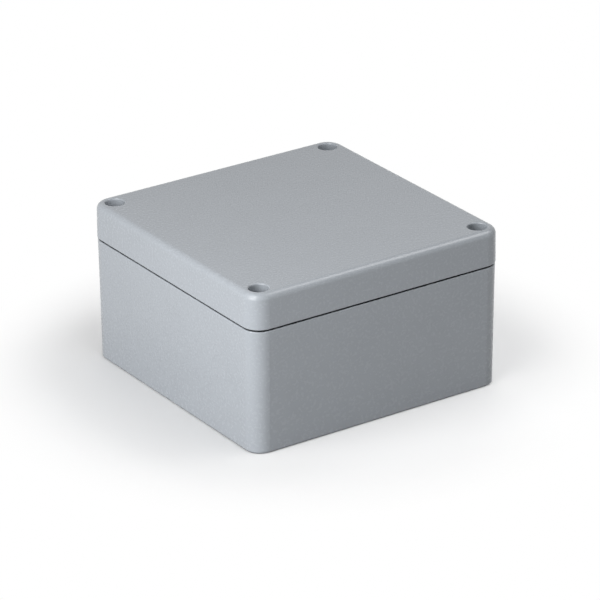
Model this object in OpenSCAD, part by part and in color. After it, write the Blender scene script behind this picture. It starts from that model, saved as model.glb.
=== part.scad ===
// Die cast aluminium junction box: a drafted base and lid, a gasket that a
// tongue on the base presses, four captive lid screws in corner pillars, wall
// mounting channels under the lid, and an earth terminal in each half.
// Millimetres. Z up, with the origin in the middle of the underside.

/* [Box] */
// Outside width along X, over the lid
box_w = 160; // [150:1:200]
// Outside depth along Y, over the lid
box_d = 160; // [150:1:200]
// Height of the base casting, from the underside to its rim
base_h = 70; // [55:0.5:90]
// Height of the lid casting
lid_h = 20; // [19:0.5:24]
// Open joint left between the two castings
seam_gap = 1; // [0.6:0.1:1.2]
// How far the lid stands out past the base all round
lid_overhang = 0.3; // [0:0.1:0.5]
// Radius of the four upright corners, at the lid's lower edge
corner_r = 10; // [9:0.5:12]

/* [Casting] */
// Wall of the base at its rim
wall_t = 4.2; // [3.8:0.1:5]
// Floor of the base
floor_t = 4; // [3:0.5:6]
// Top plate of the lid
plate_t = 4; // [3:0.5:5]
// Draft of the outside walls, in degrees
outer_draft = 0.6; // [0.2:0.1:1]
// Draft of the inside walls, in degrees
inner_draft = 0.8; // [0.3:0.1:1]
// Edge radius round the lid's top
lid_edge_r = 3.6; // [1:0.1:3.6]
// Edge radius round the underside
base_edge_r = 1.2; // [0.5:0.1:2]
// Radius of the two edges that face each other at the seam
seam_edge_r = 0.6; // [0.3:0.1:1]

/* [Sealing line] */
// Where the cavity wall turns in beside a corner pillar, from the middle, along X
notch_x = 44.5; // [40:0.5:46]
// Where the cavity wall turns in beside a corner pillar, from the middle, along Y
notch_y = 58.5; // [54:0.5:60]
// Radius of the cavity's own corners
bay_r = 6; // [5:0.5:8]
// Radius on the pillar's edge
pillar_r = 5; // [4:0.5:7]
// Width of the tongue on the base
tongue_w = 1.2; // [1:0.1:1.6]
// Height of the tongue above the rim
tongue_h = 2; // [1.6:0.1:2.6]
// Width of the groove in the lid
groove_w = 3.2; // [2.8:0.1:3.4]
// Depth of the groove in the lid
groove_d = 4; // [3:0.5:6]

/* [Lid screws] */
// Distance between lid screws, both ways
screw_pitch = 140; // [136:1:142]
// Diameter of the screw recess in the lid
recess_d = 10.6; // [10.4:0.1:11]
// Radius round the mouth of the recess
recess_mouth_r = 1; // [0.4:0.1:1]
// Height of the recess floor above the lid's lower edge
recess_floor = 6; // [5:0.5:7]
// Diameter of the cheese head
head_d = 8.5; // [8:0.1:9]
// Height of the cheese head
head_h = 3.3; // [3:0.1:3.6]
// Travel from tight to free of the base
screw_travel = 8; // [6:0.5:9]
// Length of the screw's thread
thread_l = 10; // [8:0.5:12]

/* [Wall mounting] */
// Distance between wall mounting holes along X
mount_x = 110; // [108:1:112]
// Distance between wall mounting holes along Y
mount_y = 140; // [138:1:140]
// Diameter of the wall mounting holes
mount_d = 6.6; // [5.5:0.1:7]
// Diameter of the channel that the mounting screw's head goes down
channel_d = 12.5; // [11:0.1:13]
// Web left under that channel
channel_web = 8; // [6:0.5:12]

/* [Inside fittings] */
// Distance between mounting plate bosses along X
plate_x = 124; // [110:1:126]
// Distance between mounting plate bosses along Y
plate_y = 88; // [70:1:90]
// Height of the mounting plate bosses above the floor
boss_h = 8; // [6:0.5:12]
// Distance of the earth terminals from the middle, towards the rear wall
earth_y = 61; // [56:1:62]

/* [Hidden] */
$fn = 72;

eps = 0.01;
big = 400;

casting_grey = [0.56, 0.59, 0.61];
steel = [0.75, 0.75, 0.76];
zinc_yellow = [0.78, 0.72, 0.5];
rubber_black = [0.1, 0.1, 0.11];
nylon_white = [0.9, 0.89, 0.85];

// Heights
lid_z = base_h + seam_gap;
box_h = lid_z + lid_h;

// The base is smaller than the lid by the overhang
base_w = box_w - 2 * lid_overhang;
base_d = box_d - 2 * lid_overhang;
base_r = corner_r - lid_overhang;

// The sealing line is the cavity's outline at the rim
seal_x = base_w / 2 - wall_t;
seal_y = base_d / 2 - wall_t;
// The lid's own cavity is smaller, so that a lip stands inside the groove
groove_in = (groove_w - tongue_w) / 2;
lip_t = 2;
lid_inset = groove_in + lip_t;
// Width of the strip that is swept round to make a cavity's edge
strip_w = 12;

// Lid screw: metric 5, with a neck thinner than the thread
thread_d = 4.9;
neck_d = 3.9;
screw_clear_d = 5.3;
tapped_d = 5.1;
slot_w = 1.2;
slot_depth = 1.5;
slot_angles = [25, 110, 68, 152];
seal_ring_d = 8;
seal_ring_t = 1.2;
washer_d = 10.4;
washer_t = 1.2;
washer_pocket_d = 10.5;
washer_pocket = 1.4;
// Pads round the screws that the lid stands on, just clear of the pillars
seat_d = 15;
seat_clear = 0.02;
head_z = lid_z + recess_floor + seal_ring_t;
washer_z = lid_z + washer_pocket - washer_t;
// At full travel the thread stops just under the washer
thread_top_z = washer_z - screw_travel - 0.2;
tip_z = thread_top_z - thread_l;
// The tapped part starts where the tip is when the screw is free
tapped_top_z = tip_z + screw_travel;
tapped_depth = screw_travel + 4;

// Corners in the order front left, front right, rear right, rear left
corner_signs = [[-1, -1], [1, -1], [1, 1], [-1, 1]];
function screw_xy(n) = corner_signs[n] * screw_pitch / 2;

// Small fittings
boss_d = 9;
boss_foot_d = 10.5;
tap_m4_d = 3.3;
web_t = 2.5;

// Ejector pins, in two sets of four
pin_d = 8;
pin_mark = 0.3;
pin_spreads = [[100, 40], [40, 84]];

// Earth terminals: metric 6
earth_boss_d = 11.4;
earth_foot_d = 12.6;
earth_boss_h = 8;
earth_web_t = 3.5;
earth_clamp_side = 12;
earth_clamp_t = 1.5;
earth_ring_t = 1.6;
earth_ring_d = 11.4;
earth_hole_d = 6.4;
earth_thread_d = 5.9;
earth_tapped_d = 6.1;
earth_shank_l = 9;
earth_head_d = 10;
earth_head_h = 3.9;
earth_slot_w = 1.6;
earth_slot_depth = 2;
lid_boss_h = 7;
lid_earth_y = earth_y - lid_inset - 1;

// ---- Profiles: x is the distance outwards, y the distance from the mouth ----

// A strip whose outer wall leans in by the draft as it goes away from the
// mouth, with a radius where it meets the far face and one at the mouth.
module drafted_strip(width, depth, draft, far_r, mouth_r = 0, overrun = 0) {
    function wall_at(y) = (mouth_r - y) * tan(draft);
    far = [wall_at(depth - far_r) - far_r / cos(draft), depth - far_r];
    mouth = [wall_at(mouth_r) - mouth_r / cos(draft), mouth_r];
    lean = [cos(draft), sin(draft)];
    union() {
        polygon([
            [-width, -overrun],
            [mouth[0], -overrun],
            [mouth[0], 0],
            mouth + mouth_r * lean,
            far + far_r * lean,
            [far[0], depth],
            [-width, depth],
        ]);
        translate(far) circle(far_r);
        if (mouth_r > 0) translate(mouth) circle(mouth_r);
    }
}

// ---- Sweeps of a profile ----

// Straight run from a point, facing the way given, going on to its right
module run(start, facing, length) {
    translate([start[0], start[1], 0])
        rotate(facing)
            rotate([90, 0, 0])
                linear_extrude(length) children();
}

// Quarter turn about a centre, bulging outwards
module outer_turn(centre, from, r) {
    translate([centre[0], centre[1], 0])
        rotate(from)
            rotate_extrude(angle = 90)
                intersection() {
                    translate([r, 0]) children();
                    translate([0, -big / 2]) square([big, big]);
                }
}

// Quarter turn round something that stands inside the line, such as a pillar
module inner_turn(centre, from, r) {
    translate([centre[0], centre[1], 0])
        rotate(from)
            rotate_extrude(angle = 90)
                translate([r, 0]) mirror([1, 0]) children();
}

module four_ways() {
    for (mx = [0, 1], my = [0, 1])
        mirror([mx, 0, 0]) mirror([0, my, 0]) children();
}

// Sweeps a profile round a plain rounded rectangle
module round_rectangle(hx, hy, r) {
    four_ways() {
        run([-1, hy], 90, hx - r + 1) children();
        outer_turn([hx - r, hy - r], 0, r) children();
        run([hx, hy - r], 0, hy - r + 1) children();
    }
}

// Sweeps a profile round the sealing line, which steps in round each pillar
module round_sealing_line() {
    four_ways() {
        run([-1, seal_y], 90, notch_x - bay_r + 1) children();
        outer_turn([notch_x - bay_r, seal_y - bay_r], 0, bay_r) children();
        run([notch_x, seal_y - bay_r], 0, seal_y - bay_r - notch_y - pillar_r) children();
        inner_turn([notch_x + pillar_r, notch_y + pillar_r], 180, pillar_r) children();
        run([notch_x + pillar_r, notch_y], 90, seal_x - bay_r - notch_x - pillar_r) children();
        outer_turn([seal_x - bay_r, notch_y - bay_r], 0, bay_r) children();
        run([seal_x, notch_y - bay_r], 0, notch_y - bay_r + 1) children();
    }
}

// Solid block with drafted sides: mouth at z 0, growing upwards
module drafted_block(w, d, r, depth, far_r, mouth_r) {
    round_rectangle(w / 2, d / 2, r)
        drafted_strip(r, depth, outer_draft, far_r, mouth_r);
    translate([-w / 2 + r - eps, -d / 2 + r - eps, 0])
        cube([w - 2 * r + 2 * eps, d - 2 * r + 2 * eps, depth]);
}

// The space inside a casting: mouth at z 0, growing upwards
module cavity(inset, depth, far_r) {
    round_sealing_line()
        translate([-inset, 0])
            drafted_strip(strip_w - inset, depth, inner_draft, far_r, 0, 5);
    core = inset + far_r + depth * tan(inner_draft) + 0.5;
    for (half = [[seal_x, notch_y], [notch_x, seal_y]])
        translate([core - half[0], core - half[1], -5])
            cube([2 * (half[0] - core), 2 * (half[1] - core), depth + 5]);
}

// ---- Shared details ----

// A boss that widens a little towards the wall it grows from
module boss(d, foot_d, h) {
    translate([0, 0, -1]) cylinder(h = h + 1, d1 = foot_d, d2 = d);
}

// A web that ties a boss to the wall, lower than the boss
module web(from, to, y, t, h) {
    translate([from, y - t / 2, -1]) cube([to - from, t, h + 1]);
}

// Blind hole with the cone that a drill leaves
module drilled(d, depth) {
    translate([0, 0, -depth]) cylinder(h = depth + 1, d = d);
    translate([0, 0, -depth - d / 4]) cylinder(h = d / 4 + eps, d1 = 0.4, d2 = d);
}

module countersink(d) {
    translate([0, 0, -0.6]) cylinder(h = 0.6 + eps, d1 = d, d2 = d + 1.2);
}

// Round recess whose mouth, at z 0, is rounded over
module recess(d, depth, mouth_r) {
    lift = 0.05;
    rim = d / 2 + mouth_r;
    rotate_extrude()
        difference() {
            polygon([
                [0, -depth],
                [d / 2, -depth],
                [d / 2, lift - mouth_r],
                [rim, lift],
                [rim, 1],
                [0, 1],
            ]);
            translate([rim, lift - mouth_r]) circle(mouth_r);
        }
}

// Flat round marks that the mould's ejector pins leave inside a casting
module ejector_marks() {
    for (spread = pin_spreads)
        at_corners(spread[0], spread[1]) cylinder(h = 2 * pin_mark, d = pin_d, center = true);
}

module at_corners(x, y) {
    for (s = corner_signs) translate([s[0] * x / 2, s[1] * y / 2, 0]) children();
}

// ---- Castings ----

module base() {
    color(casting_grey)
    difference() {
        union() {
            difference() {
                translate([0, 0, base_h])
                    mirror([0, 0, 1])
                        drafted_block(base_w, base_d, base_r, base_h, base_edge_r, seam_edge_r);
                translate([0, 0, base_h])
                    mirror([0, 0, 1]) cavity(0, base_h - floor_t, 3);
            }
            base_tongue();
            base_bosses();
        }
        base_corner_holes();
        at_corners(plate_x, plate_y)
            translate([0, 0, floor_t + boss_h]) drilled(tap_m4_d, boss_h - 1);
        translate([0, earth_y, floor_t + earth_boss_h]) drilled(earth_tapped_d, earth_boss_h);
        translate([0, 0, floor_t]) ejector_marks();
    }
}

// Rib that bites the gasket, level with the cavity wall
module base_tongue() {
    edge = 0.3;
    round_sealing_line()
        polygon([
            [0, base_h - 1],
            [tongue_w, base_h - 1],
            [tongue_w, base_h + tongue_h - edge],
            [tongue_w - edge, base_h + tongue_h],
            [edge, base_h + tongue_h],
            [0, base_h + tongue_h - edge],
        ]);
}

module base_bosses() {
    at_corners(plate_x, plate_y) translate([0, 0, floor_t]) boss(boss_d, boss_foot_d, boss_h);
    four_ways() translate([0, 0, floor_t]) web(plate_x / 2, seal_x + 1, plate_y / 2, web_t, boss_h - 2);
    translate([0, earth_y, floor_t]) {
        boss(earth_boss_d, earth_foot_d, earth_boss_h);
        rotate(90) web(0, seal_y + 1 - earth_y, 0, earth_web_t, earth_boss_h - 2);
    }
}

module base_corner_holes() {
    at_corners(screw_pitch, screw_pitch) {
        translate([0, 0, tapped_top_z]) cylinder(h = base_h, d = screw_clear_d);
        translate([0, 0, tapped_top_z]) drilled(tapped_d, tapped_depth);
        translate([0, 0, base_h]) countersink(screw_clear_d);
    }
    at_corners(mount_x, mount_y) {
        translate([0, 0, channel_web]) cylinder(h = base_h, d = channel_d);
        translate([0, 0, base_h]) countersink(channel_d);
        translate([0, 0, -1]) cylinder(h = base_h, d = mount_d);
    }
}

module lid() {
    color(casting_grey)
    difference() {
        union() {
            difference() {
                translate([0, 0, lid_z])
                    drafted_block(box_w, box_d, corner_r, lid_h, lid_edge_r, seam_edge_r);
                translate([0, 0, lid_z]) cavity(lid_inset, lid_h - plate_t, 2.5);
                lid_groove();
            }
            lid_seats();
            translate([0, lid_earth_y, box_h - plate_t]) mirror([0, 0, 1]) {
                boss(earth_boss_d, earth_foot_d, lid_boss_h);
                rotate(90) web(0, seal_y - lid_earth_y, 0, earth_web_t, lid_boss_h - 2);
            }
        }
        lid_corner_holes();
        translate([0, lid_earth_y, box_h - plate_t - lid_boss_h])
            mirror([0, 0, 1]) drilled(earth_tapped_d, lid_boss_h);
        translate([0, 0, box_h - plate_t]) ejector_marks();
    }
}

module lid_groove() {
    round_sealing_line()
        translate([-groove_in, lid_z - 1]) square([groove_w, groove_d + 1]);
}

// Pads round the screws, where the lid stands on the pillars metal to metal
module lid_seats() {
    at_corners(screw_pitch, screw_pitch)
        translate([0, 0, base_h + seat_clear]) cylinder(h = seam_gap + 1, d = seat_d);
}

module lid_corner_holes() {
    at_corners(screw_pitch, screw_pitch) {
        translate([0, 0, box_h]) recess(recess_d, lid_h - recess_floor, recess_mouth_r);
        translate([0, 0, base_h - 1]) cylinder(h = lid_h, d = screw_clear_d);
        translate([0, 0, base_h - 1])
            cylinder(h = 1 + seam_gap + washer_pocket, d = washer_pocket_d);
    }
    // Hollows over the mounting channels
    at_corners(mount_x, mount_y)
        translate([0, 0, lid_z - 1]) cylinder(h = lid_h - plate_t - 1, d = channel_d);
}

// ---- Seals ----

// Cord in the lid's groove, down to where the tongue meets it
module gasket() {
    edge = 0.7;
    slack = 0.05;
    low = base_h + tongue_h + slack;
    high = lid_z + groove_d;
    half = groove_w / 2 - slack;
    color(rubber_black)
        round_sealing_line()
            translate([tongue_w / 2, 0])
                union() {
                    polygon([
                        [-half, high],
                        [-half, low + edge],
                        [-half + edge, low],
                        [half - edge, low],
                        [half, low + edge],
                        [half, high],
                    ]);
                    for (side = [-1, 1])
                        translate([side * (half - edge), low + edge]) circle(edge);
                }
}

// Ring squeezed under a lid screw's head
module seal_ring(n) {
    inner_r = neck_d / 2 + 0.15;
    outer_r = seal_ring_d / 2;
    edge = 0.4;
    color(rubber_black)
        translate([screw_xy(n)[0], screw_xy(n)[1], head_z - seal_ring_t])
            rotate_extrude()
                union() {
                    translate([inner_r + edge, 0])
                        square([outer_r - inner_r - 2 * edge, seal_ring_t]);
                    translate([inner_r, edge])
                        square([outer_r - inner_r, seal_ring_t - 2 * edge]);
                    for (r = [inner_r + edge, outer_r - edge], z = [edge, seal_ring_t - edge])
                        translate([r, z]) circle(edge);
                }
}

// Washer that is pressed over the thread on to the neck, and keeps the screw in the lid
module retaining_washer(n) {
    color(nylon_white)
        translate([screw_xy(n)[0], screw_xy(n)[1], washer_z])
            difference() {
                cylinder(h = washer_t, d = washer_d);
                translate([0, 0, -1]) cylinder(h = washer_t + 2, d = neck_d + 0.3);
            }
}

// ---- Screws ----

module cheese_head(d, h, slot, depth) {
    edge = 0.4;
    difference() {
        rotate_extrude()
            union() {
                square([d / 2, h - edge]);
                square([d / 2 - edge, h]);
                translate([d / 2 - edge, h - edge]) circle(edge);
            }
        translate([-d, -slot / 2, h - depth]) cube([2 * d, slot, depth + 1]);
    }
}

// Captive lid screw, tight in the base
module lid_screw(n) {
    chamfer = 0.8;
    color(steel)
        translate([screw_xy(n)[0], screw_xy(n)[1], 0])
            rotate(slot_angles[n]) {
                translate([0, 0, head_z]) cheese_head(head_d, head_h, slot_w, slot_depth);
                translate([0, 0, thread_top_z - eps])
                    cylinder(h = head_z - thread_top_z + 2 * eps, d = neck_d);
                translate([0, 0, tip_z + chamfer])
                    cylinder(h = thread_l - chamfer, d = thread_d);
                translate([0, 0, tip_z])
                    cylinder(h = chamfer + eps, d1 = thread_d - 2 * chamfer, d2 = thread_d);
            }
}

// Earth terminal parts stand on a boss at z 0
module earth_screw() {
    stack = earth_clamp_t + earth_ring_t;
    color(steel) {
        translate([0, 0, stack])
            cheese_head(earth_head_d, earth_head_h, earth_slot_w, earth_slot_depth);
        translate([0, 0, stack - earth_shank_l])
            cylinder(h = earth_shank_l + eps, d = earth_thread_d);
    }
}

// Square clamp with two turned-down edges that keep the wire in
module earth_clamp() {
    lip_w = 1;
    lip_drop = 1.5;
    color(zinc_yellow)
        difference() {
            translate([-earth_clamp_side / 2 - lip_w, -earth_clamp_side / 2, -lip_drop])
                cube([earth_clamp_side + 2 * lip_w, earth_clamp_side, earth_clamp_t + lip_drop]);
            translate([-earth_clamp_side / 2, -big / 2, -lip_drop - 1])
                cube([earth_clamp_side, big, lip_drop + 1]);
            translate([0, 0, -1]) cylinder(h = earth_clamp_t + 2, d = earth_hole_d);
        }
}

// Split ring, sprung flat, with its gap showing
module earth_spring_washer() {
    ring_gap = 0.8;
    color(steel)
        translate([0, 0, earth_clamp_t])
            difference() {
                cylinder(h = earth_ring_t, d = earth_ring_d);
                translate([0, 0, -1]) cylinder(h = earth_ring_t + 2, d = earth_hole_d);
                rotate(35) translate([0, -ring_gap / 2, -1]) cube([big, ring_gap, earth_ring_t + 2]);
            }
}

module on_base_earth() {
    translate([0, earth_y, floor_t + earth_boss_h]) children();
}

module on_lid_earth() {
    translate([0, lid_earth_y, box_h - plate_t - lid_boss_h]) mirror([0, 0, 1]) children();
}

// ---- Nodes ----

base();
lid();
gasket();
for (n = [0 : 3]) {
    lid_screw(n);
    seal_ring(n);
    retaining_washer(n);
}
on_base_earth() earth_screw();  // base_earth_screw
on_base_earth() earth_clamp();  // base_earth_clamp
on_base_earth() earth_spring_washer();  // base_earth_spring_washer
on_lid_earth() earth_screw();  // lid_earth_screw
on_lid_earth() earth_clamp();  // lid_earth_clamp
on_lid_earth() earth_spring_washer();  // lid_earth_spring_washer
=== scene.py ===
import math

import bmesh
import bpy
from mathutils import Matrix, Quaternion, Vector


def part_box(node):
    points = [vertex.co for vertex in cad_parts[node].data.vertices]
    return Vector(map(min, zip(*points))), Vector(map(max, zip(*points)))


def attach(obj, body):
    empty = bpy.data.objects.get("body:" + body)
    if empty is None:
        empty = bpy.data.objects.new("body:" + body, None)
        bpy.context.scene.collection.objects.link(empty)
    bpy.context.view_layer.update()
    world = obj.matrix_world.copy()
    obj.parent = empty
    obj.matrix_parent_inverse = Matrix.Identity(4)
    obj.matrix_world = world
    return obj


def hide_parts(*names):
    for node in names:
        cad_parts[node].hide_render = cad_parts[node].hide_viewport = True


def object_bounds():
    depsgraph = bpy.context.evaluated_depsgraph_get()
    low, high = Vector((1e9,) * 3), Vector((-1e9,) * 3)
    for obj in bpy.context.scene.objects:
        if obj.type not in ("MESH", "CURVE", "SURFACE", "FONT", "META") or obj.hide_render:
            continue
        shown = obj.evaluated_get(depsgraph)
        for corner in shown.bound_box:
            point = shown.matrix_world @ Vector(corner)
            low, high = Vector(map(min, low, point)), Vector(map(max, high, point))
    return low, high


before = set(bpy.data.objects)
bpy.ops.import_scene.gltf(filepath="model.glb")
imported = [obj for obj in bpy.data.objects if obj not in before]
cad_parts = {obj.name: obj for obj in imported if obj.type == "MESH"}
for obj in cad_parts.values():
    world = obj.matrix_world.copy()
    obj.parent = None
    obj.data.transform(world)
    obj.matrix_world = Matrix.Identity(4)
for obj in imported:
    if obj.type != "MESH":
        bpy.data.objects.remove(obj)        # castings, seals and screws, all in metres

scene = bpy.context.scene
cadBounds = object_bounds()
boxLow, boxHigh = cadBounds
boxMiddle = (boxLow + boxHigh) / 2
mm = 0.001


# camera, a long lens from a little above the box

cameraView = {
    "azimuth": -34.15,      # degrees, 0 looks at the front wall
    "elevation": 24.03,
    "roll": -0.44,
    "distance": 2.118,      # metres
    "lens": 235.3,          # millimetres, as is the sensor's width
    "sensor": 36,
    "aim": (-0.0013, -0.0065, -0.0023),     # from the middle of the box
}


def towards(azimuth, elevation):
    # the way from the box to something seen at these angles, in degrees
    azimuth, elevation = math.radians(azimuth), math.radians(elevation)
    return Vector((
        math.sin(azimuth) * math.cos(elevation),
        -math.cos(azimuth) * math.cos(elevation),
        math.sin(elevation),
    ))


def placeCamera(view):
    back = towards(view["azimuth"], view["elevation"])
    camera = bpy.data.objects.new("camera", bpy.data.cameras.new("camera"))
    camera.data.sensor_width = view["sensor"]
    camera.data.lens = view["lens"]
    camera.location = boxMiddle + Vector(view["aim"]) + back * view["distance"]
    camera.rotation_mode = "QUATERNION"
    roll = Quaternion((0, 0, 1), math.radians(view["roll"]))
    camera.rotation_quaternion = (-back).to_track_quat("-Z", "Y") @ roll
    scene.collection.objects.link(camera)
    scene.camera = camera


placeCamera(cameraView)
print("camera placed")


# the room, pale to the eye and in reflections, with a little light of its own

roomLight = {
    "fill": 0.06,           # strength of the room's light on the box
    "colour": (0.97, 0.985, 1.0),
    "backdrop": (1.0, 1.0, 1.0),
}


def seenShare(tree):
    # 1 for what is looked at, straight or in a reflection, and 0 for what only sheds light
    path = tree.nodes.new("ShaderNodeLightPath")
    share = path.outputs["Is Camera Ray"]
    for ray in ("Is Glossy Ray", "Is Transmission Ray"):
        either = tree.nodes.new("ShaderNodeMath")
        either.operation = "MAXIMUM"
        tree.links.new(share, either.inputs[0])
        tree.links.new(path.outputs[ray], either.inputs[1])
        share = either.outputs[0]
    return share


def lightRoom(room):
    world = bpy.data.worlds.new("room")
    scene.world = world
    world.use_nodes = True
    tree = world.node_tree
    tree.nodes.clear()
    seen = seenShare(tree)
    fill = tree.nodes.new("ShaderNodeBackground")
    fill.inputs["Color"].default_value = (*room["colour"], 1)
    fill.inputs["Strength"].default_value = room["fill"]
    backdrop = tree.nodes.new("ShaderNodeBackground")
    backdrop.inputs["Color"].default_value = (*room["backdrop"], 1)
    backdrop.inputs["Strength"].default_value = 1
    choose = tree.nodes.new("ShaderNodeMixShader")
    tree.links.new(seen, choose.inputs[0])
    tree.links.new(fill.outputs[0], choose.inputs[1])
    tree.links.new(backdrop.outputs[0], choose.inputs[2])
    output = tree.nodes.new("ShaderNodeOutputWorld")
    tree.links.new(choose.outputs[0], output.inputs["Surface"])


lightRoom(roomLight)
scene.view_settings.view_transform = "Standard"
print("room lit")


# materials are put together on a sheet of nodes

class NodeSheet:
    def __init__(self, name):
        self.material = bpy.data.materials.new(name)
        self.material.use_nodes = True
        self.tree = self.material.node_tree
        self.shader = self.tree.nodes["Principled BSDF"]
        self.place = self.add("ShaderNodeTexCoord").outputs["Object"]

    def add(self, kind, **settings):
        node = self.tree.nodes.new(kind)
        for setting, value in settings.items():
            setattr(node, setting, value)
        return node

    def feed(self, socket, value):
        # value is a plain number or colour, or what another node gives out
        if isinstance(value, bpy.types.NodeSocket):
            self.tree.links.new(value, socket)
        else:
            socket.default_value = value

    def sum(self, operation, *values):
        node = self.add("ShaderNodeMath", operation=operation)
        for socket, value in zip(node.inputs, values):
            self.feed(socket, value)
        return node.outputs[0]

    def vector(self, operation, *values):
        node = self.add("ShaderNodeVectorMath", operation=operation)
        for socket, value in zip(node.inputs, values):
            self.feed(socket, value)
        return node.outputs["Value" if operation == "LENGTH" else "Vector"]

    def split(self, vector):
        node = self.add("ShaderNodeSeparateXYZ")
        self.feed(node.inputs[0], vector)
        return node.outputs

    def join(self, x, y, z):
        node = self.add("ShaderNodeCombineXYZ")
        for socket, value in zip(node.inputs, (x, y, z)):
            self.feed(socket, value)
        return node.outputs[0]

    def ramp(self, value, low, high, least=0.0, most=1.0):
        # goes smoothly from least to most as value goes from low to high, or down to it
        node = self.add("ShaderNodeMapRange", interpolation_type="SMOOTHSTEP")
        for socket, given in zip(node.inputs, (value, low, high, least, most)):
            self.feed(socket, given)
        return node.outputs[0]

    def grain(self, size, detail=2.0, rough=0.5, place=None):
        # cloudy noise from 0 to 1 whose lumps are about size metres across
        node = self.add("ShaderNodeTexNoise")
        self.feed(node.inputs["Vector"], place or self.place)
        self.feed(node.inputs["Scale"], 1 / size)
        self.feed(node.inputs["Detail"], detail)
        self.feed(node.inputs["Roughness"], rough)
        return node.outputs["Fac"]

    def blend(self, share, a, b):
        # a where share is 0 and b where it is 1; sockets 6, 7 and 2 are the node's colours
        node = self.add("ShaderNodeMix", data_type="RGBA")
        self.feed(node.inputs[0], share)
        self.feed(node.inputs[6], a)
        self.feed(node.inputs[7], b)
        return node.outputs[2]

    def mix(self, share, a, b):
        # the same for numbers, on the node's sockets 2, 3 and 0
        node = self.add("ShaderNodeMix", data_type="FLOAT")
        self.feed(node.inputs[0], share)
        self.feed(node.inputs[2], a)
        self.feed(node.inputs[3], b)
        return node.outputs[0]

    def relief(self, height, depth, over=None):
        # height from 0 to 1 stands depth metres proud, on top of another relief
        node = self.add("ShaderNodeBump")
        self.feed(node.inputs["Strength"], 1.0)
        self.feed(node.inputs["Distance"], depth)
        self.feed(node.inputs["Height"], height)
        if over is not None:
            self.feed(node.inputs["Normal"], over)
        return node.outputs["Normal"]

    def finish(self, colour, metal, rough, normal):
        self.feed(self.shader.inputs["Base Color"], colour)
        self.feed(self.shader.inputs["Metallic"], metal)
        self.feed(self.shader.inputs["Roughness"], rough)
        self.feed(self.shader.inputs["Normal"], normal)
        return self.material


def shade(colour, by):
    return (*[channel * by for channel in colour], 1)


def shades(finish):
    # the darkest and the lightest of a finish's own colour
    return [shade(finish["colour"], by) for by in finish["shades"]]


def roughness(sheet, share, finish):
    # a finish's roughness, smoother where share is 0 and rougher where it is 1
    smoother, rougher = finish["roughSpread"]
    return sheet.mix(share, finish["rough"] - smoother, finish["rough"] + rougher)


def dress(piece, material):
    piece.data.materials.clear()
    piece.data.materials.append(material)
    for face in piece.data.polygons:
        face.material_index = 0


# powder coat outside, bare casting inside

coat = {
    "colour": (0.351, 0.377, 0.408),
    "shadeSize": 18 * mm,
    "shades": (0.97, 1.03),     # darkest and lightest, as shares of the colour
    "rough": 0.27,
    "roughSpread": (0.025, 0.025),      # smoother and rougher by this
    "peelSize": 1.6 * mm,       # lumps of the orange peel
    "peelDepth": 0.003 * mm,
    "waveSize": 34 * mm,        # slow waves of the casting under the coat
    "waveDepth": 0.02 * mm,
}
bareMetal = {
    "colour": (0.66, 0.665, 0.67),
    "shades": (0.8, 1.1),
    "rough": 0.46,
    "roughSpread": (0.16, 0.16),
    "grainSize": 0.7 * mm,
    "grainDepth": 0.02 * mm,
    "flowSize": 22 * mm,        # dull streaks where the metal ran in
}
coatEdge = {
    "wrap": 3.6 * mm,           # how far the coat runs over a wall's rim
    "fade": 0.6 * mm,
    "waver": 0.5 * mm,
    "waverSize": 3 * mm,
    "jointAt": 70.5 * mm,       # middle of the open joint between the two castings
    "jointHalf": 0.8 * mm,
    "jointFade": 0.1 * mm,
    "jointShadeDepths": (0.3 * mm, 0.9 * mm),      # painted shade darkens the coat between these depths from the wall
    "jointShadeTone": 0.15,          # painted shade: how dark the coat is painted back in the joint, where shade falls
}
castings = {
    # faceCoat: the coat on the flat face fades between these depths
    "base": {
        "cornerRadius": 9.7 * mm,
        "flatUp": False,
        "faceCoat": (0.4 * mm, 0.8 * mm),
        "recesses": False,
    },
    "lid": {
        "cornerRadius": 10 * mm,
        "flatUp": True,
        "faceCoat": (0.8 * mm, 1.2 * mm),
        "recesses": True,
    },
}
recess = {
    "radius": 5.3 * mm,
    "floor": 77 * mm,
    "pitch": 140 * mm,
    "coatPast": 0.8 * mm,       # the coat is taken this far past the recess's wall
    "fade": 0.4 * mm,
}


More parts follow.
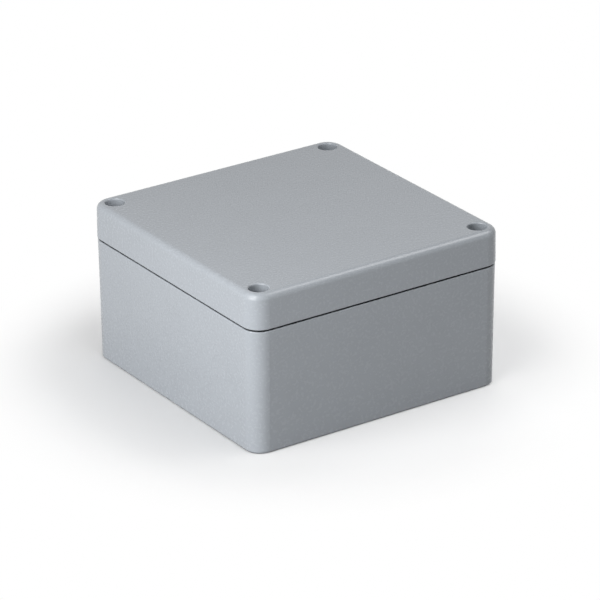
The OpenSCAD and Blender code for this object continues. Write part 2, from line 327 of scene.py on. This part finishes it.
def coatedShare(sheet, node, casting):
    # 1 on what the powder reaches: side walls, the flat face and the screw recesses,
    # and 1 on what lies back in the joint, where shade is painted
    low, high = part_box(node)
    radius = casting["cornerRadius"]
    x, y, z = sheet.split(sheet.place)
    lumps = sheet.sum("SUBTRACT", sheet.grain(coatEdge["waverSize"]), 0.5)
    waver = sheet.sum("MULTIPLY", lumps, 2 * coatEdge["waver"])
    flat = sheet.vector("ABSOLUTE", sheet.join(x, y, 0.0))
    beyond = sheet.vector("SUBTRACT", flat, (high.x - radius, high.y - radius, 0))
    reach = sheet.vector("LENGTH", sheet.vector("MAXIMUM", beyond, (0, 0, 0)))
    fromWall = sheet.sum("ADD", sheet.sum("SUBTRACT", reach, radius), waver)
    wrap, fade = coatEdge["wrap"], coatEdge["fade"]
    share = sheet.ramp(fromWall, -wrap - fade, -wrap)
    fromJoint = sheet.sum("ABSOLUTE", sheet.sum("SUBTRACT", z, coatEdge["jointAt"]))
    jointHalf = coatEdge["jointHalf"]
    nearJoint = sheet.ramp(fromJoint, jointHalf, jointHalf - coatEdge["jointFade"])
    shallow, deep = coatEdge["jointShadeDepths"]
    back = sheet.ramp(fromWall, -shallow, -deep)
    near, far = casting["faceCoat"]
    if casting["flatUp"]:
        face = sheet.ramp(z, high.z - far, high.z - near)
    else:
        face = sheet.ramp(z, low.z + near, low.z + far, 1.0, 0.0)
    share = sheet.sum("MAXIMUM", share, face)
    if casting["recesses"]:
        half = recess["pitch"] / 2
        fromScrew = sheet.vector("LENGTH", sheet.vector("SUBTRACT", flat, (half, half, 0)))
        fade, edge = recess["fade"], recess["radius"] + recess["coatPast"]
        inRecess = sheet.ramp(fromScrew, edge, edge - fade)
        aboveFloor = sheet.ramp(z, recess["floor"] - fade, recess["floor"] - fade / 2)
        share = sheet.sum("MAXIMUM", share, sheet.sum("MULTIPLY", inRecess, aboveFloor))
    return share, sheet.sum("MULTIPLY", nearJoint, back)


def castingFinish(node, casting):
    sheet = NodeSheet("powder_coated_" + node)
    share, jointShade = coatedShare(sheet, node, casting)
    tone = sheet.grain(coat["shadeSize"], detail=3.0)
    paint = sheet.blend(tone, *shades(coat))
    # painted shade: the coat is darkened back in the joint, where shade falls between the
    # castings
    paint = sheet.blend(jointShade, paint, shade(coat["colour"], coatEdge["jointShadeTone"]))
    flow = sheet.grain(bareMetal["flowSize"], detail=5.0, rough=0.6)
    metal = sheet.blend(flow, *shades(bareMetal))
    peel = sheet.grain(coat["peelSize"])
    paintRough = roughness(sheet, peel, coat)
    grit = sheet.grain(bareMetal["grainSize"], detail=4.0, rough=0.6)
    metalRough = roughness(sheet, flow, bareMetal)
    waves = sheet.relief(sheet.grain(coat["waveSize"], detail=1.0), coat["waveDepth"])
    height = sheet.mix(share, grit, peel)
    depth = sheet.mix(share, bareMetal["grainDepth"], coat["peelDepth"])
    return sheet.finish(
        sheet.blend(share, metal, paint),
        sheet.sum("SUBTRACT", 1.0, share),
        sheet.mix(share, metalRough, paintRough),
        sheet.relief(height, depth, waves),
    )


for name, casting in castings.items():
    dress(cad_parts[name], castingFinish(name, casting))
print("castings coated")


# seals and washers keep their own shapes

rubber = {
    "colour": (0.028, 0.028, 0.031),
    "shades": (0.85, 1.35),
    "rough": 0.62,
    "roughSpread": (0.06, 0.08),
    "bloomSize": 9 * mm,        # pale bloom on the rubber
    "poreSize": 0.4 * mm,
    "poreDepth": 0.012 * mm,
}
nylon = {
    "colour": (0.76, 0.745, 0.69),
    "shades": (0.95, 1.03),
    "rough": 0.48,
    "roughSpread": (0.06, 0.06),
    "cloudSize": 4 * mm,
    "markSize": 0.9 * mm,
    "markDepth": 0.006 * mm,
}


def rubberFinish():
    sheet = NodeSheet("seal_rubber")
    pores = sheet.grain(rubber["poreSize"], detail=3.0, rough=0.6)
    bloom = sheet.grain(rubber["bloomSize"], detail=3.0)
    return sheet.finish(
        sheet.blend(bloom, *shades(rubber)),
        0.0,
        roughness(sheet, bloom, rubber),
        sheet.relief(pores, rubber["poreDepth"]),
    )


def nylonFinish():
    sheet = NodeSheet("natural_nylon")
    marks = sheet.grain(nylon["markSize"])
    return sheet.finish(
        sheet.blend(sheet.grain(nylon["cloudSize"]), *shades(nylon)),
        0.0,
        roughness(sheet, marks, nylon),
        sheet.relief(marks, nylon["markDepth"]),
    )


sealRubber = rubberFinish()
softPieces = {
    "gasket": (sealRubber, "seal"),
    "seal_ring": (sealRubber, "seal"),
    "retaining_washer": (nylonFinish(), "nylon"),
}
for name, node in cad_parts.items():
    kind = name.rstrip("_1234")     # the rings and washers are numbered 1 to 4
    if kind in softPieces:
        finish, slot = softPieces[kind]
        dress(node, finish)
print("seals and washers dressed")


# screws, turned from bar, with the threads rolled on

captiveScrew = {
    "headRadius": 4.25 * mm,
    "headHeight": 3.3 * mm,
    "rimRadius": 0.4 * mm,
    "slotWide": 1.2 * mm,
    "slotDeep": 1.5 * mm,
    "neckRadius": 1.95 * mm,
    "neckLength": 15.2 * mm,
    "neckFillet": 0.3 * mm,     # under the head
    "underEdge": 0.15 * mm,     # chamfer round the head's underside
    "threadRadius": 2.45 * mm,
    "threadLength": 10 * mm,
    "pitch": 0.8 * mm,
    "tipTaper": 0.8 * mm,
    "slotAngles": (25, 110, 68, 152),       # degrees, as the four were left
}
earthScrew = {
    "headRadius": 5 * mm,
    "headHeight": 3.9 * mm,
    "rimRadius": 0.4 * mm,
    "slotWide": 1.6 * mm,
    "slotDeep": 2 * mm,
    "neckRadius": 2.45 * mm,
    "neckLength": 0.9 * mm,
    "neckFillet": 0.3 * mm,
    "underEdge": 0.15 * mm,
    "threadRadius": 2.95 * mm,
    "threadLength": 8.1 * mm,
    "pitch": 1 * mm,
    "tipTaper": 0.5 * mm,
    "slotAngles": (74, 31),
}
threadCut = {
    "sides": 64,
    "rowsToAPitch": 16,
    "depth": 0.58,          # of the pitch
    "crest": 0.14,          # share of the pitch that is flat on top
    "root": 0.22,           # and at the bottom
    "runOut": 0.5 * mm,
}
slotEdge = {
    "broken": 0.07 * mm,    # edges of a slot are broken by this much
    "sharper": 50,          # where the faces turn by more than this, in degrees
    "reach": 0.001 * mm,    # and that lie no further than this below the slot's floor
}


def threadHeight(turns):
    # 1 on the crest and 0 in the root, turns being counted in pitches
    fromCrest = abs(2 * (turns % 1) - 1)
    crest, root = threadCut["crest"], 1 - threadCut["root"]
    return min(1, max(0, (root - fromCrest) / (root - crest)))


def roundTo(radius, z, size, steps=5):
    # the quarter round at the rim of a head, from its side to its top
    for step in range(steps + 1):
        turn = math.pi / 2 * step / steps
        yield (radius - size + size * math.cos(turn), z - size + size * math.sin(turn))


def screwRings(size):
    # one list of radii for each ring, from the tip up to the rim of the head
    sides = threadCut["sides"]
    bottom = -size["headHeight"] - size["neckLength"] - size["threadLength"]
    top = bottom + size["threadLength"]
    rows = round(size["threadLength"] / size["pitch"] * threadCut["rowsToAPitch"])
    deep = threadCut["depth"] * size["pitch"]
    for row in range(rows + 1):
        z = bottom + (top - bottom) * row / rows
        tip = size["threadRadius"] - size["tipTaper"] + (z - bottom)
        end = size["neckRadius"] + (top - z) * deep / threadCut["runOut"]
        radii = []
        for side in range(sides):
            turns = z / size["pitch"] - side / sides
            cut = size["threadRadius"] - deep * (1 - threadHeight(turns))
            radii.append(max(min(cut, tip, end), size["neckRadius"] if row == rows else 0))
        yield z, radii
    under, neck, head = -size["headHeight"], size["neckRadius"], size["headRadius"]
    fillet, edge = size["neckFillet"], size["underEdge"]
    bow = 0.3 * fillet      # how near the middle of the fillet comes to its corner
    for radius, z in (
        (neck, under - fillet),
        (neck + bow, under - bow),
        (neck + fillet, under),
        (head - edge, under),
        (head, under + edge),
        *roundTo(head, 0, size["rimRadius"]),
    ):
        yield z, [radius] * sides


def pieceFrom(name, work):
    bmesh.ops.recalc_face_normals(work, faces=work.faces)
    mesh = bpy.data.meshes.new(name)
    work.to_mesh(mesh)
    work.free()
    piece = bpy.data.objects.new(name, mesh)
    scene.collection.objects.link(piece)
    return piece


def skin(work, rings):
    # quads between the rings, and a flat end on the first and the last
    made = []
    for z, radii in rings:
        count = len(radii)
        made.append([
            work.verts.new((
                radius * math.cos(2 * math.pi * side / count),
                radius * math.sin(2 * math.pi * side / count),
                z,
            ))
            for side, radius in enumerate(radii)
        ])
    for lower, upper in zip(made, made[1:]):
        for side in range(count):
            after = (side + 1) % count
            work.faces.new((lower[side], lower[after], upper[after], upper[side]))
    work.faces.new(made[0][::-1])
    work.faces.new(made[-1])


def box(name, low, high):
    work = bmesh.new()
    corners = bmesh.ops.create_cube(work, size=1)["verts"]
    middle, size = (Vector(low) + Vector(high)) / 2, Vector(high) - Vector(low)
    for corner in corners:
        corner.co = middle + size * corner.co
    return pieceFrom(name, work)


def cutAway(piece, tool):
    # takes the tool's shape out of the piece, and throws the tool away
    cut = piece.modifiers.new("cut", "BOOLEAN")
    cut.operation = "DIFFERENCE"
    cut.solver = "EXACT"
    cut.object = tool
    bpy.context.view_layer.update()
    cutPiece = piece.evaluated_get(bpy.context.evaluated_depsgraph_get())
    made = bpy.data.meshes.new_from_object(cutPiece)
    piece.modifiers.clear()
    piece.data = made
    bpy.data.objects.remove(tool)


def breakEdges(piece, width, sharper, keep, steps=2):
    # rounds the outside edges that are sharper than an angle and that keep picks
    work = bmesh.new()
    work.from_mesh(piece.data)
    edges = [
        edge for edge in work.edges
        if edge.is_manifold and edge.is_convex
        and edge.calc_face_angle() > math.radians(sharper) and keep(edge)
    ]
    bmesh.ops.bevel(
        work, geom=edges, offset=width, segments=steps, profile=0.5,
        affect="EDGES", clamp_overlap=True,
    )
    work.to_mesh(piece.data)
    work.free()


def smooth(piece, sharper=35):
    # smooth shading that breaks at the real edges
    work = bmesh.new()
    work.from_mesh(piece.data)
    for face in work.faces:
        face.smooth = True
    for edge in work.edges:
        edge.smooth = edge.is_manifold and edge.calc_face_angle() < math.radians(sharper)
    work.to_mesh(piece.data)
    work.free()


def turnScrew(name, size):
    # the middle of the head's top is the piece's own origin
    work = bmesh.new()
    skin(work, screwRings(size))
    piece = pieceFrom(name, work)
    wide, deep, reach = size["slotWide"] / 2, size["slotDeep"], 2 * size["headRadius"]
    cutAway(piece, box("slot", (-reach, -wide, -deep), (reach, wide, deep)))
    lowest = -deep - slotEdge["reach"]
    breakEdges(
        piece, slotEdge["broken"], slotEdge["sharper"],
        lambda edge: min(end.co.z for end in edge.verts) > lowest,
    )
    smooth(piece)
    return piece


steel = {
    "colour": (0.60, 0.595, 0.585),
    "shades": (0.82, 1.08),
    "rough": 0.27,
    "roughSpread": (0.05, 0.09),
    "smearSize": 2.4 * mm,
    "ringSize": 0.16 * mm,      # from one turning mark to the next
    "ringDepth": 0.0035 * mm,
    "ringRough": 0.06,          # rougher by this on a mark
    "ringsDown": 0.6,           # along the side they lie further apart
}


def steelFinish():
    # fine rings about the axis that the piece was turned on
    sheet = NodeSheet("turned_steel")
    x, y, z = sheet.split(sheet.place)
    fromAxis = sheet.vector("LENGTH", sheet.join(x, y, 0.0))
    acrossRings = sheet.join(fromAxis, sheet.sum("MULTIPLY", z, steel["ringsDown"]), 0.0)
    rings = sheet.grain(steel["ringSize"], rough=0.7, place=acrossRings)
    smears = sheet.grain(steel["smearSize"], detail=3.0, rough=0.6)
    ringRough = sheet.sum("MULTIPLY", rings, steel["ringRough"])
    return sheet.finish(
        sheet.blend(smears, *shades(steel)),
        1.0,
        sheet.sum("ADD", roughness(sheet, smears, steel), ringRough),
        sheet.relief(rings, steel["ringDepth"]),
    )


def middleOf(node):
    low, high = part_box(node)
    return (low + high) / 2


turnedSteel = steelFinish()
for index, angle in enumerate(captiveScrew["slotAngles"], 1):
    node = f"lid_screw_{index}"
    screw = turnScrew(f"captive_screw_{index}", captiveScrew)
    middle = middleOf(node)
    screw.location = (middle.x, middle.y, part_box(node)[1].z)
    screw.rotation_euler.z = math.radians(angle)
    dress(screw, turnedSteel)
    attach(screw, f"screw_{index}")
    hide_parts(node)
print("captive screws turned")


# earth terminals: a clamp, a spring washer and a screw in each half

earthClamp = {
    "half": 6 * mm,         # half the plate, inside the two lips
    "lip": 1 * mm,
    "thick": 1.5 * mm,
    "drop": 1.5 * mm,
    "bend": 1.1 * mm,       # outside radius where a lip turns down
    "crease": 0.35 * mm,    # and inside it
    "hole": 3.2 * mm,       # radius
    "holeSides": 48,
    "edge": 0.12 * mm,
    "sharper": 60,          # edges that turn by more than this are broken, in degrees
}
springWasher = {
    "inner": 3.2 * mm,
    "outer": 5.7 * mm,
    "thick": 1.6 * mm,
    "corner": 0.22 * mm,
    "gapAt": 35,            # degrees
    "gap": 4.2,             # half the gap, in degrees
    "slant": 6.0,           # how far the cut leans from top to bottom
    "steps": 96,            # round the ring
    "cornerSteps": 3,       # round each corner of the bar
}
zincPlate = {
    "yellow": (0.66, 0.50, 0.20),
    "rose": (0.66, 0.42, 0.33),
    "green": (0.52, 0.56, 0.30),
    "roseToYellow": (0.3, 0.5),     # where the clouds pass from one tint to the next
    "yellowToGreen": (0.5, 0.72),
    "cloudSize": 3.5 * mm,
    "rough": 0.30,
    "roughSpread": (0.07, 0.08),
    "brushSize": 0.5 * mm,
    "brushDepth": 0.004 * mm,
}


def arcPoints(centre, radius, start, end, steps=5):
    for step in range(steps + 1):
        turn = math.radians(start + (end - start) * step / steps)
        yield (centre[0] + radius * math.cos(turn), centre[1] + radius * math.sin(turn))


def formClamp(name, size):
    # seen from the front: a plate with both ends bent down, the boss at z 0
    wide = size["half"] + size["lip"]
    high, low = size["thick"], -size["drop"]
    bend, crease, edge = size["bend"], size["crease"], size["edge"]
    right = [
        *arcPoints((size["half"] - crease, -crease), crease, 90, 0),
        (size["half"], low + edge),
        (size["half"] + edge, low),
        (wide - edge, low),
        (wide, low + edge),
        *arcPoints((wide - bend, high - bend), bend, 0, 90),
    ]
    outline = right + [(-x, z) for x, z in reversed(right)]
    work = bmesh.new()
    front = [work.verts.new((x, -size["half"], z)) for x, z in outline]
    rear = [work.verts.new((x, size["half"], z)) for x, z in outline]
    count = len(outline)
    for at in range(count):
        after = (at + 1) % count
        work.faces.new((front[at], front[after], rear[after], rear[at]))
    work.faces.new(front)
    work.faces.new(rear[::-1])
    piece = pieceFrom(name, work)
    drill = bmesh.new()
    drillRing = [size["hole"]] * size["holeSides"]
    skin(drill, [(-size["thick"], drillRing), (2 * size["thick"], drillRing)])
    cutAway(piece, pieceFrom("drill", drill))
    breakEdges(piece, edge, size["sharper"], lambda here: True)
    smooth(piece)
    return piece


def coilWasher(name, size):
    # a rounded bar section carried round the ring, cut on a slant
    corner, half = size["corner"], size["thick"] / 2
    inner, outer = size["inner"] + corner, size["outer"] - corner
    section = []
    for quarter, (x, z) in enumerate((
        (outer, half - corner), (inner, half - corner),
        (inner, corner - half), (outer, corner - half),
    )):
        start = 90 * quarter
        section += arcPoints((x, z), corner, start, start + 90, size["cornerSteps"])
    work = bmesh.new()
    rings = []
    for step in range(size["steps"] + 1):
        along = step / size["steps"]
        ring = []
        for radius, z in section:
            lean = size["slant"] * z / half
            start = size["gapAt"] + size["gap"] + lean
            turn = math.radians(start + (360 - 2 * size["gap"]) * along)
            x, y = radius * math.cos(turn), radius * math.sin(turn)
            ring.append(work.verts.new((x, y, z + half)))
        rings.append(ring)
    count = len(section)
    for lower, upper in zip(rings, rings[1:]):
        for at in range(count):
            after = (at + 1) % count
            work.faces.new((lower[at], lower[after], upper[after], upper[at]))
    work.faces.new(rings[0][::-1])
    work.faces.new(rings[-1])
    piece = pieceFrom(name, work)
    smooth(piece)
    return piece


def zincFinish():
    sheet = NodeSheet("yellow_zinc_plate")
    clouds = sheet.grain(zincPlate["cloudSize"], detail=3.0, rough=0.6)
    tint = sheet.blend(
        sheet.ramp(clouds, *zincPlate["roseToYellow"]),
        (*zincPlate["rose"], 1),
        (*zincPlate["yellow"], 1),
    )
    toGreen = sheet.ramp(clouds, *zincPlate["yellowToGreen"])
    tint = sheet.blend(toGreen, tint, (*zincPlate["green"], 1))
    brush = sheet.grain(zincPlate["brushSize"], detail=3.0, rough=0.6)
    return sheet.finish(
        tint,
        1.0,
        roughness(sheet, brush, zincPlate),
        sheet.relief(brush, zincPlate["brushDepth"]),
    )


def sitOn(piece, z, up, turn, body, node, material):
    # up is 1 on the base's boss and -1 under the lid's
    middle = middleOf(node)
    piece.location = (middle.x, middle.y, z)
    piece.rotation_euler = (0 if up > 0 else math.pi, 0, math.radians(turn))
    dress(piece, material)
    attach(piece, body)
    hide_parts(node)


platedZinc = zincFinish()
for half, up, slotAngle in zip(("base", "lid"), (1, -1), earthScrew["slotAngles"]):
    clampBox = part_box(f"{half}_earth_clamp")
    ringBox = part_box(f"{half}_earth_spring_washer")
    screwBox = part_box(f"{half}_earth_screw")
    near, far = (0, 1) if up > 0 else (1, 0)    # next to the boss, and away from it
    seat = clampBox[near].z + up * earthClamp["drop"]
    ringSeat, headTop = ringBox[near].z, screwBox[far].z
    sitOn(
        formClamp(f"{half}_clamp_plate", earthClamp), seat, up, 0,
        half, f"{half}_earth_clamp", platedZinc,
    )
    sitOn(
        coilWasher(f"{half}_spring_ring", springWasher), ringSeat, up, 0,
        half, f"{half}_earth_spring_washer", turnedSteel,
    )
    sitOn(
        turnScrew(f"{half}_terminal_screw", earthScrew), headTop, up, slotAngle,
        half, f"{half}_earth_screw", turnedSteel,
    )
print("earth terminals fitted")


# floor

floorLook = {
    "size": 12.0,
    "colour": (0.86, 0.86, 0.86),
    "bounce": (0.43, 0.43, 0.43),   # its colour for the light it throws on the box
    "rough": 0.9,
    "white": (0.12, 0.185),     # metres from the box, fading to plain white in between
    "drop": 0.05 * mm,      # just under the box
}


def floorFinish(look):
    sheet = NodeSheet("floor_paper")
    seen = seenShare(sheet.tree)
    away = sheet.vector("LENGTH", sheet.place)
    white = sheet.sum("MULTIPLY", seen, sheet.ramp(away, *look["white"]))
    paper = sheet.blend(seen, (*look["bounce"], 1), (*look["colour"], 1))
    sheet.feed(sheet.shader.inputs["Base Color"], paper)
    sheet.feed(sheet.shader.inputs["Roughness"], look["rough"])
    plain = sheet.add("ShaderNodeEmission")
    choose = sheet.add("ShaderNodeMixShader")
    sheet.feed(choose.inputs[0], white)
    sheet.feed(choose.inputs[1], sheet.shader.outputs["BSDF"])
    sheet.feed(choose.inputs[2], plain.outputs[0])
    sheet.feed(sheet.tree.nodes["Material Output"].inputs["Surface"], choose.outputs[0])
    return sheet.material


def layFloor(look):
    mesh = bpy.data.meshes.new("floor")
    half = look["size"] / 2
    z = boxLow.z - look["drop"]
    corners = [(-half, -half, z), (half, -half, z), (half, half, z), (-half, half, z)]
    mesh.from_pydata(corners, [], [(0, 1, 2, 3)])
    floor = bpy.data.objects.new("floor", mesh)
    scene.collection.objects.link(floor)
    mesh.materials.append(floorFinish(look))
    return floor


floor = layFloor(floorLook)
print("floor laid")


# soft boxes, some for the box and some for the paper it stands on

nearBox = {"distance": 0.65, "glints": True}    # metres from the box's middle
farBox = {"distance": 1.1, "glints": True}
softBoxes = {
    "key": {
        **nearBox, "azimuth": -69, "elevation": 37,
        "size": (0.42, 0.5), "watts": 3.75,
    },
    "low_key": {
        **nearBox, "azimuth": -69, "elevation": 8,
        "size": (0.42, 0.3), "watts": 1.7,
    },
    "right": {
        **nearBox, "azimuth": 63, "elevation": 52,
        "size": (0.32, 0.32), "watts": 1.3,
    },
    "rear": {
        **nearBox, "azimuth": 135, "elevation": 5,
        "size": (0.5, 0.12), "watts": 1.2,
        "glints": False,        # or the far edges would gleam
    },
}
paperBoxes = {
    "paper_left": {
        **farBox, "azimuth": -80, "elevation": 43,
        "size": (0.9, 0.9), "watts": 6.4,
    },
    "paper_front": {
        **farBox, "azimuth": 14, "elevation": 50,
        "size": (1.1, 0.9), "watts": 5.5,
    },
    "paper_right": {
        **farBox, "azimuth": 80, "elevation": 50,
        "size": (0.9, 0.9), "watts": 3.6,
    },
    "paper_rear": {
        **farBox, "azimuth": 150, "elevation": 25,
        "size": (0.9, 0.9), "watts": 3.4,
    },
    "paper_top": {
        **farBox, "azimuth": 0, "elevation": 89,
        "size": (1.2, 1.2), "watts": 3.1,
    },
}


def lightOnly(name, state):
    # a lamp's own list, on which the floor stands as lit or as left out
    listed = bpy.data.collections.new(name)
    listed.objects.link(floor)
    listed.collection_objects[0].light_linking.link_state = state
    return listed


def hangSoftBox(name, softBox, listed):
    away = towards(softBox["azimuth"], softBox["elevation"])
    lamp = bpy.data.lights.new(name, "AREA")
    lamp.shape = "RECTANGLE"
    lamp.size, lamp.size_y = softBox["size"]
    lamp.energy = softBox["watts"]
    holder = bpy.data.objects.new(name, lamp)
    holder.location = boxMiddle + away * softBox["distance"]
    holder.rotation_mode = "QUATERNION"
    holder.rotation_quaternion = (-away).to_track_quat("-Z", "Y")
    holder.light_linking.receiver_collection = listed
    holder.visible_camera = False
    holder.visible_glossy = softBox["glints"]
    scene.collection.objects.link(holder)


notPaper = lightOnly("not_paper", "EXCLUDE")
onlyPaper = lightOnly("only_paper", "INCLUDE")
for name, softBox in softBoxes.items():
    hangSoftBox(name, softBox, notPaper)
for name, softBox in paperBoxes.items():
    hangSoftBox(name, softBox, onlyPaper)
print("soft boxes hung")
